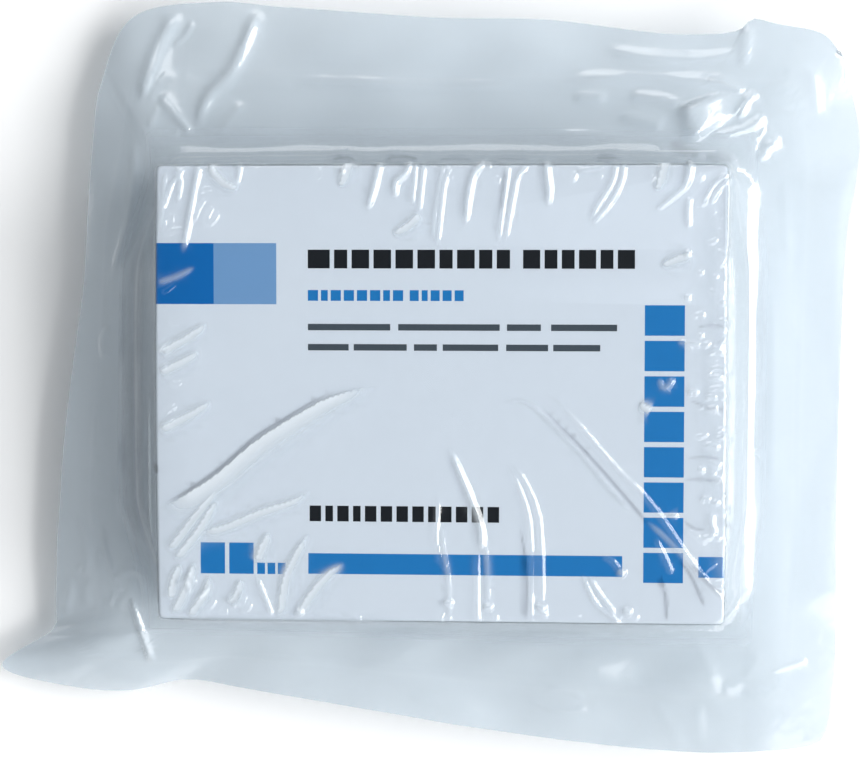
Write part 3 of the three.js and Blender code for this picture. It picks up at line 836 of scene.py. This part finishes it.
def blend_at(at, start, end, first, last):
    """Place on the straight blend from a first point, at the knot start, to a last one, at the knot end."""
    return (end - at) / (end - start) * first + (at - start) / (end - start) * last


def centripetal_curve(points, steps, closed=False):
    """Centripetal Catmull-Rom curve through points, sampled evenly in its own parameter."""
    points = np.asarray(points, float)
    if closed:
        ends = np.vstack([points[-1:], points, points[:2]])
    else:
        ends = np.vstack([2 * points[0] - points[1], points, 2 * points[-1] - points[-2]])
    samples = []
    for i in range(1, len(ends) - 2):
        four = ends[i - 1 : i + 3]
        gaps = np.linalg.norm(np.diff(four, axis=0), axis=1) ** 0.5
        knots = np.concatenate([[0], np.cumsum(gaps)])
        at = np.linspace(knots[1], knots[2], steps, endpoint=False)[:, None]
        three = [blend_at(at, knots[k], knots[k + 1], four[k], four[k + 1]) for k in range(3)]
        two = [blend_at(at, knots[k], knots[k + 2], three[k], three[k + 1]) for k in range(2)]
        samples.append(blend_at(at, knots[1], knots[2], two[0], two[1]))
    return np.vstack([*samples, ends[-2:-1]])


def flange_edges():
    """Outer edge of the flange as four curves, each from one corner's middle to the next one's."""

    def corner_place(corner, past):
        return np.array([corner["x"], corner["y"]]) * (HALVES + past)

    places, counts = [], []
    for side in range(4):
        facing, along, across, length = side_frame(side)
        start = FLANGE_CORNERS[side]
        end = FLANGE_CORNERS[(side + 1) % 4]
        mine = [corner_place(start, past) for past in (start["middle"], *start["after"])]
        mine += [facing * (across + past) + along * length * share for share, past in FLANGE_SIDES[side]]
        mine += [corner_place(end, past) for past in end["before"]]
        places += mine
        counts.append(len(mine) * OUTLINE_STEPS)
    curve = centripetal_curve(places, OUTLINE_STEPS, closed=True)
    starts = np.concatenate([[0], np.cumsum(counts)])
    return [curve[starts[side] : starts[side + 1] + 1] for side in range(4)]


def along_curve(curve, shares):
    """Points at shares of a sampled curve's length."""
    run = np.concatenate([[0], np.cumsum(np.linalg.norm(np.diff(curve, axis=0), axis=1))])
    at = np.clip(shares, 0, 1) * run[-1]
    return np.stack([np.interp(at, run, curve[:, 0]), np.interp(at, run, curve[:, 1])], axis=-1)


def smooth_between(start, end, share):
    """Blend that leaves and arrives level."""
    return start + (end - start) * share * share * (3 - 2 * share)


def seam_level(station, share, seam):
    """Level of the flange, in mm, at a station and a share of the way from the wall's foot to its edge."""
    station = np.mod(station, 4)
    side = np.minimum(station.astype(int), 3)
    along = station - side
    starts = np.array([start for start, _ in EDGE_DROOP])
    middles = np.array([middle for _, middle in EDGE_DROOP])
    first = smooth_between(starts[side], middles[side], np.clip(2 * along, 0, 1))
    second = smooth_between(middles[side], starts[(side + 1) % 4], np.clip(2 * along - 1, 0, 1))
    level = seam - np.where(along < 0.5, first, second) * share**DROOP_CURVE
    for waves, phase, height in RIPPLES:
        level = level + height * share * np.sin(station / 4 * 2 * math.pi * waves + phase)
    return level


def half_lines(half, film):
    """Grid lines from the carton's middle to the flange's edge: distance past the side and flange share."""
    edge, clear, foot = film["edge"], film["clear"], film["foot"]
    face = np.linspace(-half, -edge, max(2, round((half - edge) / FACE_STEP)) + 1)[:-1]
    turn = np.linspace(0, math.pi / 2, TURN_STEPS + 1)
    crease = -edge + (edge + clear) * np.sin(turn)
    wall = np.linspace(clear, clear + NOMINAL_LEAN, WALL_STEPS + 1)[1:]
    hollow = clear + NOMINAL_LEAN + foot * (1 - np.cos(turn))[1:]
    out = np.linspace(0, 1, FLANGE_STEPS + 1)[1:]
    past = np.concatenate([face, crease, wall, hollow, np.full(len(out), hollow[-1])])
    share = np.concatenate([np.zeros(len(past) - len(out)), out])
    return past, share


def both_ways(half, film):
    """Grid lines right across the web: side sign, distance past the side and flange share."""
    past, share = half_lines(half, film)
    sign = np.ones(len(past))
    return (
        np.concatenate([-sign[::-1], sign[1:]]),
        np.concatenate([past[::-1], past[1:]]),
        np.concatenate([share[::-1], share[1:]]),
    )


def wall_profile(past, film, depth):
    """Height over the seam of the film at a distance past the side, for a panel at a height over the seam."""
    edge, clear, foot = film["edge"], film["clear"], film["foot"]
    radius = edge + clear
    round_edge = depth - edge + np.sqrt(np.clip(radius**2 - np.clip(past + edge, 0, radius) ** 2, 0, None))
    wall_share = np.clip((past - clear) / NOMINAL_LEAN, 0, 1)
    wall = (depth - edge) + (foot - (depth - edge)) * wall_share
    reach = clear + NOMINAL_LEAN + foot
    hollow = foot - np.sqrt(np.clip(foot**2 - np.clip(reach - past, 0, foot) ** 2, 0, None))
    height = np.where(past < clear, round_edge, np.where(past < clear + NOMINAL_LEAN, wall, hollow))
    return np.where(past < -edge, depth + clear, height)


def lean_along(film, side, place, half):
    """How far the film stands off the foot of a wall, in mm, at places along that side."""
    from_end = 1 - np.clip(np.abs(place) / (half - film["corner"]), 0, 1)
    share = CORNER_SHARE + (1 - 2 * CORNER_SHARE) * from_end / 2
    rise = np.clip((share - CORNER_SHARE) / LEAN_RISE, 0, 1)
    return smooth_between(film["corner_lean"], film["side_lean"][side], rise)


def stand_off(past, lean, clear):
    """Distance past the card, in mm, of grid lines where the film stands off a wall's foot by a lean."""
    beyond = np.clip(past - clear, 0, None)
    on_wall = np.minimum(past, clear) + np.minimum(beyond, NOMINAL_LEAN) * lean / NOMINAL_LEAN
    return on_wall + np.clip(beyond - NOMINAL_LEAN, 0, None)


def edge_share(film, sign, past, share, half):
    """Share of each grid line along a side of the flange's edge, which has half a corner at either end."""
    turn, reach = film["corner"], film["corner_lean"] + film["foot"]
    straight = np.clip(sign * (half + past) / (half - turn), -1, 1)
    beyond = np.clip(past + turn, 0, None) / (reach + turn)
    on_card = ROUND_SHARE * np.clip(beyond, 0, 1) * (past > -turn) * (share == 0)
    on_flange = (ROUND_SHARE + (1 - ROUND_SHARE) * share) * (share > 0)
    corner = sign * (on_card + on_flange)
    return 0.5 + 0.5 * (straight * (1 - 2 * CORNER_SHARE) + corner * 2 * CORNER_SHARE)


def corner_patch(u, v, root, side_points, end_points, side_root, end_root, corner):
    """Places in a corner of the flange, blended from its four edges. u and v run outwards along X and Y."""
    return (
        (1 - v) * (root + u * (side_root - root))
        + v * end_points
        + (1 - u) * (root + v * (end_root - root))
        + u * side_points
        - (1 - u) * (1 - v) * root
        - u * (1 - v) * side_root
        - (1 - u) * v * end_root
        - u * v * corner
    )


def plan_of_web(film):
    """Plan of the web's grid, in mm: places, distance past the card, flange share, station and stand-off."""
    sign_x, past_x, share_x = both_ways(HALVES[0], film)
    sign_y, past_y, share_y = both_ways(HALVES[1], film)
    clear = film["clear"]
    on_x = sign_x * (HALVES[0] + past_x)
    on_y = sign_y * (HALVES[1] + past_y)
    lean_x = np.where(
        sign_x[None, :] > 0,
        lean_along(film, 0, on_y, HALVES[1])[:, None],
        lean_along(film, 2, on_y, HALVES[1])[:, None],
    )
    lean_y = np.where(
        sign_y[:, None] > 0,
        lean_along(film, 1, on_x, HALVES[0])[None, :],
        lean_along(film, 3, on_x, HALVES[0])[None, :],
    )
    x = sign_x[None, :] * (HALVES[0] + stand_off(past_x[None, :], lean_x, clear))
    y = sign_y[:, None] * (HALVES[1] + stand_off(past_y[:, None], lean_y, clear))
    core = np.stack(np.broadcast_arrays(x, y), axis=-1)

    # Each grid line meets the flange's edge at its own share of a side, and runs straight out to it.
    across = edge_share(film, sign_x, past_x, share_x, HALVES[0])
    upward = edge_share(film, sign_y, past_y, share_y, HALVES[1])
    shares = (upward, 1 - across, 1 - upward, across)
    right, head, left, foot = (along_curve(curve, share) for curve, share in zip(flange_edges(), shares))
    last_x = {s: np.where((sign_x == s) & (share_x == 0))[0][-1 if s > 0 else 0] for s in (-1, 1)}
    last_y = {s: np.where((sign_y == s) & (share_y == 0))[0][-1 if s > 0 else 0] for s in (-1, 1)}
    place = core.copy()
    station = np.zeros(core.shape[:2])
    out_x = np.broadcast_to(share_x[None, :, None], (*core.shape[:2], 1))
    out_y = np.broadcast_to(share_y[:, None, None], (*core.shape[:2], 1))
    for (way_x, way_y), middle in CORNER_STATIONS.items():
        columns, rows = np.where(sign_x == way_x)[0], np.where(sign_y == way_y)[0]
        column, row = last_x[way_x], last_y[way_y]
        side_edge = right if way_x > 0 else left
        end_edge = head if way_y > 0 else foot
        side_stations = upward if way_x > 0 else 3 - upward
        end_stations = 2 - across if way_y > 0 else 3 + across
        if middle == 4:
            side_stations = side_stations + 4
        grid = np.ix_(rows, columns)
        start, root = core[grid], core[row, column]
        u, v = out_x[grid], out_y[grid]
        side_points = side_edge[rows][:, None, :]
        end_points = end_edge[columns][None, :, :]
        corner = side_edge[rows[-1 if way_y > 0 else 0]]
        patch = corner_patch(u, v, root, side_points, end_points, side_edge[row], end_edge[column], corner)
        on_side = start + u * (side_points - start)
        on_end = start + v * (end_points - start)
        place[grid] = np.where(u * v > 0, patch, np.where(u > 0, on_side, on_end))
        turn = np.arctan2(v[..., 0], u[..., 0] + 1e-9) / (math.pi / 2)
        cornered = np.where(
            turn < 0.5,
            side_stations[row] + (middle - side_stations[row]) * 2 * turn,
            middle + (end_stations[column] - middle) * (2 * turn - 1),
        )
        both = (u * v)[..., 0] > 0
        only_side = (u[..., 0] > 0) & ~both
        on_lines = np.where(only_side, side_stations[rows][:, None], end_stations[columns][None, :])
        station[grid] = np.where(both, cornered, on_lines)
    flange = np.sqrt(np.clip(out_x**2 + out_y**2 - out_x**2 * out_y**2, 0, None))[..., 0]
    outside = np.abs(core) - (HALVES - film["corner"])
    past = np.linalg.norm(np.clip(outside, 0, None), axis=-1) - film["corner"]
    past = past + np.minimum(outside.max(-1), 0)
    side_lean = np.where(outside[..., 0] > outside[..., 1], lean_x, lean_y)
    lean = np.where(outside.min(-1) > 0, film["corner_lean"], side_lean)
    beyond = np.clip(past - clear, 0, None)
    on_wall = np.minimum(past, clear) + np.minimum(beyond, lean) * NOMINAL_LEAN / lean
    return place, on_wall + np.clip(beyond - lean, 0, None), flange, station, lean


def drawn_creases(kinds, creases):
    """Each crease's path, with the figures of its kind."""
    return [(path, kinds[kind]) for kind, paths in creases.items() for path in paths]


def crinkles(draw, patches, variety):
    """Small crinkles drawn at random over patches, in the form that creases come in."""
    spread, shares, bow, widths, rises, sharp = variety
    drawn = []
    for low, high, count, across, size, scale in patches:
        for _ in range(count):
            middle = draw.uniform(low, high)
            turn = math.radians(across + draw.normal(0, spread))
            length = size * draw.uniform(*shares)
            way = np.array([math.cos(turn), math.sin(turn)]) * length / 2
            bend = draw.uniform(-bow, bow) * length * np.array([-way[1], way[0]]) / np.linalg.norm(way)
            figures = (draw.uniform(*widths), scale * draw.uniform(*rises), sharp, 1, 0, 0)
            drawn.append(([middle - way, middle + bend, middle + way], figures))
    return drawn


def nearest_on_line(line, spots):
    """For each spot: its distance from a line, the share along it, and how far off it lies the gentle way."""
    gap, share, facing = np.full(len(spots), FAR), np.zeros(len(spots)), np.zeros(len(spots))
    run = np.concatenate([[0], np.cumsum(np.linalg.norm(np.diff(line, axis=0), axis=1))])
    for k in range(len(line) - 1):
        start, step = line[k], line[k + 1] - line[k]
        along = np.clip(((spots - start) @ step) / (step @ step), 0, 1)
        off = spots - (start + along[:, None] * step)
        distance = np.linalg.norm(off, axis=1)
        nearer = distance < gap
        gap = np.where(nearer, distance, gap)
        facing = np.where(nearer, off @ GENTLE_WAY, facing)
        share = np.where(nearer, (run[k] + along * (run[k + 1] - run[k])) / run[-1], share)
    return gap, share, facing


def crease_marks(points, creases):
    """What creases do at plan points: height in mm, veil, painted shade, and the longest edge that shows
    them.
    """
    height, veiled, painted_shades = np.zeros((3, len(points)))
    finest = np.full(len(points), FAR)
    for path, (width, rise, sharp, gentle, veil, painted_shade) in creases:
        line = centripetal_curve(path, CREASE_STEPS)
        if np.linalg.norm(line[0]) > np.linalg.norm(line[-1]):
            line = line[::-1]
        reach = CREASE_REACH * width * gentle
        near = np.where(((points > line.min(0) - reach) & (points < line.max(0) + reach)).all(-1))[0]
        gap, share, facing = nearest_on_line(line, points[near])
        flank = np.where(facing > 0, gentle, 1)
        # A crease is pinched to a point at its inner end, and widens towards its outer one.
        wide = width * (0.5 + 0.5 * np.clip(share / GROWN_BY, 0, 1)) * flank
        taper = smooth_between(0, 1, np.clip(share / INNER_TAPER, 0, 1))
        taper = taper * smooth_between(0, 1, np.clip((1 - share) / OUTER_TAPER, 0, 1))
        profile = taper * np.exp(-((gap / wide) ** sharp))
        height[near] = np.maximum(height[near], rise * profile)
        veiled[near] = np.maximum(veiled[near], veil * profile * np.where(facing > 0, 1, 1 / gentle))
        painted_shades[near] = np.maximum(painted_shades[near], painted_shade * profile)
        closer = gap < FINE_REACH * width * flank**0.5
        finest[near] = np.where(closer, np.minimum(finest[near], FINE_SHARE * width), finest[near])
    return height, veiled, painted_shades, finest


def soft_waves(points):
    """Height of the flange's shallow waves at plan points, in mm."""
    height = np.zeros(len(points))
    for turn, length, phase, rise in WAVES:
        way = np.array([math.cos(turn), math.sin(turn)])
        height += rise * np.sin(2 * math.pi * (points @ way) / length + phase)
    fade = np.clip((points[:, 0] - SMOOTH_STARTS) / SMOOTH_TAKES, 0, 1)
    return height * smooth_between(1, SMOOTH_SIDE, fade)


def film_sizes(sizes):
    """Sizes in mm that the film's shape follows."""
    carton = bpy.context.scene.slides_carton
    leans = (sizes.right_lean, sizes.head_lean, sizes.left_lean, sizes.foot_lean)
    return {
        "clear": sizes.clearance / MM,
        "corner_lean": sizes.corner_lean / MM,
        "side_lean": [lean / MM for lean in leans],
        "foot": sizes.foot_radius / MM,
        "edge": carton.edge / MM,
        "corner": carton.corner / MM,
    }


def sweep_of_right_side(film, seam, place, z):
    """Level of the front web with its wide sweep from the right wall's foot on to the flange."""
    from_end = HALVES[1] + SWEEP_END - np.abs(place[..., 1])
    fade = smooth_between(0, 1, np.clip(from_end / SWEEP_FADE, 0, 1))
    radius = film["foot"] + (SWEEP_RADIUS - film["foot"]) * fade
    off = np.clip(place[..., 0] - HALVES[0] - film["clear"], 0, None)
    arc = radius - np.sqrt(np.clip(radius**2 - np.clip(radius - off, 0, radius) ** 2, 0, None))
    swept = (off > SIDE_SLACK) & (fade > 0) & (z < seam + arc)
    return np.where(swept, np.maximum(z, z * (1 - fade) + (seam + arc - SWEEP_DROP) * fade), z)


def web_surface(sizes, way):
    """The web's inner skin as a grid of places in mm. way is 1 for the front web and -1 for the back one."""
    carton = bpy.context.scene.slides_carton
    film = film_sizes(sizes)
    place, past, flange, station, lean = plan_of_web(film)
    seam = sizes.seam_height / MM
    panel = CARTON_HIGH.z / MM if way > 0 else CARTON_LOW.z / MM
    rise = wall_profile(past, film, way * (panel - seam))
    sealed = smooth_between(0, 1, np.clip((flange - SEAL_STARTS) / SEAL_CLOSES, 0, 1))
    half_gap = (sizes.seam_gap + (sizes.seal_gap - sizes.seam_gap) * sealed) / MM / 2
    over_card = seam + way * (rise + half_gap * (past > 0))
    z = np.where(flange > 0, seam_level(station, flange, seam) + way * half_gap, over_card)
    if way > 0:
        z = sweep_of_right_side(film, seam, place, z)
    inward = np.clip(1 + past / BOW_FADE, 0, 1) * (1 - flange)
    past_left = np.abs(place[..., 0]) - HALVES[0]
    left = (place[..., 0] < 0) & (past > -BOW_FADE) & (past_left > past - SIDE_SLACK)
    x = place[..., 0] - np.where(left, wall_bow(carton, place[..., 1], z) * inward, 0)
    reach = NOMINAL_LEAN + film["foot"]
    outer = SEAM_MILK + (SEAL_MILK - SEAM_MILK) * np.clip(flange / CLING_TAKES, 0, 1)
    outer = outer + (1 - SEAL_MILK) * np.clip((flange - SEAL_HAZE_STARTS) / SEAL_HAZE_TAKES, 0, 1)
    # The closer the film clings to a wall, the more it is crumpled there, and the sooner it turns milky.
    hollow = SEAM_MILK * np.clip(past / reach, 0, 1) ** (lean / NOMINAL_LEAN)
    milky = np.where(flange > 0, outer, hollow)
    return np.stack([x, place[..., 1], z], axis=-1), milky


def web_mesh(grid, milky, way):
    """A grid bmesh laid on a grid of places in mm, with how milky the film is at each."""
    rows, columns = grid.shape[:2]
    bm = bmesh.new()
    layer = bm.verts.layers.float.new("milky")
    bmesh.ops.create_grid(bm, x_segments=columns - 1, y_segments=rows - 1, size=0.5)
    for vert in bm.verts:
        i = round((vert.co.x + 0.5) * (columns - 1))
        j = round((vert.co.y + 0.5) * (rows - 1))
        vert.co = grid[j, i]
        vert[layer] = milky[j, i]
    if way < 0:
        bmesh.ops.reverse_faces(bm, faces=bm.faces)
    return bm


def crease_web(bm, on_panel, on_flange):
    """Raises the creases of a web, on a mesh made finer near them."""
    layer = bm.verts.layers.float["milky"]
    # Painted shade: how much darker the film is tinted along folds, edges and the left hollow.
    dark = bm.verts.layers.float.new("painted_shade")
    for _ in range(FINE_PASSES):
        middles = np.array([face.calc_center_median()[:2] for face in bm.faces])
        outside = np.array([min(vert[layer] for vert in face.verts) for face in bm.faces]) > SEAM_MILK
        finest = np.where(outside, crease_marks(middles, on_flange)[3], crease_marks(middles, on_panel)[3])
        edges = {}
        for face, longest in zip(bm.faces, finest):
            for edge in face.edges:
                start, end = (vert.co for vert in edge.verts)
                if math.hypot(end.x - start.x, end.y - start.y) > longest:
                    edges[edge] = True
        bmesh.ops.subdivide_edges(bm, edges=list(edges), cuts=1, use_grid_fill=True)
    bm.normal_update()
    places = np.array([vert.co for vert in bm.verts])
    normals = np.array([vert.normal for vert in bm.verts])
    milk = np.array([vert[layer] for vert in bm.verts])
    flange = np.clip((milk - SEAM_MILK) / SEAM_BLEND, 0, 1)
    height, veil, painted_shade, _ = crease_marks(places[:, :2], on_panel)
    places += normals * (height * (1 - flange))[:, None]
    places[:, 2] += (crease_marks(places[:, :2], on_flange)[0] + soft_waves(places[:, :2])) * flange
    for i, vert in enumerate(bm.verts):
        vert.co = places[i]
        vert[layer] = milk[i] + veil[i] * (1 - flange[i])
        vert[dark] = painted_shade[i] * (1 - flange[i])


def make_web(context, name, node, way):
    """Makes one film web with its thickness, body and slot, and hides the CAD node that it replaces."""
    sizes = context.scene.slides_film
    grid, milky = web_surface(sizes, way)
    bm = web_mesh(grid, milky, way)
    for edge in bm.edges:
        edge.smooth = not edge.is_boundary
    draw = np.random.default_rng(CRINKLE_SEED)
    on_panel = crinkles(draw, EDGE_CRINKLES, EDGE_VARIETY) + drawn_creases(PANEL_KINDS, PANEL_CREASES)
    on_flange = crinkles(draw, FLANGE_CRINKLES, FLANGE_VARIETY) + drawn_creases(FLANGE_KINDS, FLANGE_CREASES)
    crease_web(bm, on_panel if way > 0 else [], on_flange)
    film = film_material(f"film_{name}", sizes.haze_colour, sizes.tint)
    web = object_from(bm, name, [film])
    solid = web.modifiers.new("Thickness", "SOLIDIFY")
    solid.thickness = sizes.thickness
    solid.offset = 1
    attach(web, "root")
    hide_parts(node)


class SLIDES_OT_front_web(Operator):
    """Make the creased front web of the pouch"""

    bl_idname = "slides.front_web"
    bl_label = "Front film"

    def execute(self, context):
        make_web(context, "front_film", "pouch_front_film", 1)
        return {"FINISHED"}


class SLIDES_OT_back_web(Operator):
    """Make the back web of the pouch"""

    bl_idname = "slides.back_web"
    bl_label = "Back film"

    def execute(self, context):
        make_web(context, "back_film", "pouch_back_film", -1)
        return {"FINISHED"}


# Stage ----------------------------------------------------------------------------------------------


def area_light(name, azimuth, elevation, distance, size, power, colour):
    """A square soft box that faces the pack from a direction in degrees."""
    turn, rise = math.radians(azimuth), math.radians(elevation)
    way = Vector((math.cos(rise) * math.cos(turn), math.cos(rise) * math.sin(turn), math.sin(rise)))
    light = bpy.data.lights.new(name, "AREA")
    light.shape = "SQUARE"
    light.size = size
    light.energy = power
    light.color = colour
    ob = bpy.data.objects.new(name, light)
    ob.location = way * distance
    ob.rotation_euler = way.to_track_quat("Z", "Y").to_euler()
    bpy.context.scene.collection.objects.link(ob)


def make_floor(stage):
    """The pale floor, just below the pack."""
    bm = bmesh.new()
    bmesh.ops.create_grid(bm, x_segments=1, y_segments=1, size=FLOOR_HALF)
    bmesh.ops.translate(bm, vec=(0, 0, -FLOOR_DROP), verts=bm.verts)
    floor = object_from(bm, "studio_floor", [floor_material(stage.floor_colour)])


def make_room(scene):
    """A pale room, brighter towards its windows, with a dim ceiling that the level film hardly mirrors."""
    world = bpy.data.worlds.new("pale_room")
    world.use_nodes = True
    tree = world.node_tree
    way = new_node(tree, "ShaderNodeTexCoord")
    parts = new_node(tree, "ShaderNodeSeparateXYZ", {"Vector": way.outputs["Generated"]})
    facing = new_node(
        tree,
        "ShaderNodeVectorMath",
        {0: way.outputs["Generated"], 1: BRIGHT_SIDE},
        operation="DOT_PRODUCT",
    )
    wall = new_node(
        tree,
        "ShaderNodeMapRange",
        {"Value": facing.outputs["Value"], "From Min": -1, "To Min": DIM_WALL, "To Max": BRIGHT_WALL},
    )
    light = new_node(
        tree,
        "ShaderNodeMapRange",
        {
            "Value": parts.outputs["Z"],
            "From Min": math.cos(math.radians(CEILING_ENDS)),
            "From Max": math.cos(math.radians(CEILING_STARTS)),
            "To Min": wall.outputs["Result"],
            "To Max": CEILING_LIGHT,
        },
        interpolation_type="SMOOTHSTEP",
    )
    sky = tree.nodes["Background"]
    sky.inputs["Color"].default_value = (0.95, 0.98, 1, 1)
    tree.links.new(light.outputs["Result"], sky.inputs["Strength"])
    scene.world = world


def make_camera(scene, stage):
    """The camera, nearly straight above the panel."""
    camera = bpy.data.cameras.new("camera")
    camera.lens = stage.lens
    eye = bpy.data.objects.new("camera", camera)
    tilt = Euler([math.radians(turn) for turn in CAMERA_TILT], "XYZ")
    eye.rotation_euler = tilt
    aim = Vector((*CAMERA_AIM, CARTON_HIGH.z))
    eye.location = aim + tilt.to_matrix() @ Vector((0, 0, stage.camera_distance))
    scene.collection.objects.link(eye)
    scene.camera = eye


class SLIDES_OT_stage(Operator):
    """Make the floor, the lights and the camera"""

    bl_idname = "slides.stage"
    bl_label = "Stage"

    def execute(self, context):
        scene = context.scene
        make_floor(scene.slides_stage)
        make_room(scene)
        for name, figures in LAMPS.items():
            area_light(name, *figures)
        make_camera(scene, scene.slides_stage)
        scene.view_settings.view_transform = "Standard"
        return {"FINISHED"}


class SLIDES_PT_panel(Panel):
    """Sidebar panel with the pack's sizes and makers"""

    bl_idname = "SLIDES_PT_panel"
    bl_label = "Slide carton"
    bl_space_type = "VIEW_3D"
    bl_region_type = "UI"
    bl_category = "Slide carton"

    def draw(self, context):
        for group in ("slides_carton", "slides_film", "slides_stage"):
            settings = getattr(context.scene, group)
            box = self.layout.box()
            for name in settings.bl_rna.properties.keys():
                if name not in ("rna_type", "name"):
                    box.prop(settings, name)
        for maker in (SLIDES_OT_carton, SLIDES_OT_back_web, SLIDES_OT_front_web, SLIDES_OT_stage):
            self.layout.operator(maker.bl_idname)


CLASSES = (
    SLIDES_PG_carton,
    SLIDES_PG_film,
    SLIDES_PG_stage,
    SLIDES_OT_carton,
    SLIDES_OT_back_web,
    SLIDES_OT_front_web,
    SLIDES_OT_stage,
    SLIDES_PT_panel,
)


def register():
    """Registers the classes and the scene's settings."""
    for cls in CLASSES:
        bpy.utils.register_class(cls)
    bpy.types.Scene.slides_carton = PointerProperty(type=SLIDES_PG_carton)
    bpy.types.Scene.slides_film = PointerProperty(type=SLIDES_PG_film)
    bpy.types.Scene.slides_stage = PointerProperty(type=SLIDES_PG_stage)


def unregister():
    """Removes the settings and the classes."""
    del bpy.types.Scene.slides_stage
    del bpy.types.Scene.slides_film
    del bpy.types.Scene.slides_carton
    for cls in reversed(CLASSES):
        bpy.utils.unregister_class(cls)


def main():
    """Makes the whole pack and its stage."""
    register()
    bpy.ops.slides.stage()
    bpy.ops.slides.carton()
    bpy.ops.slides.back_web()
    bpy.ops.slides.front_web()


if __name__ == "__main__":
    main()
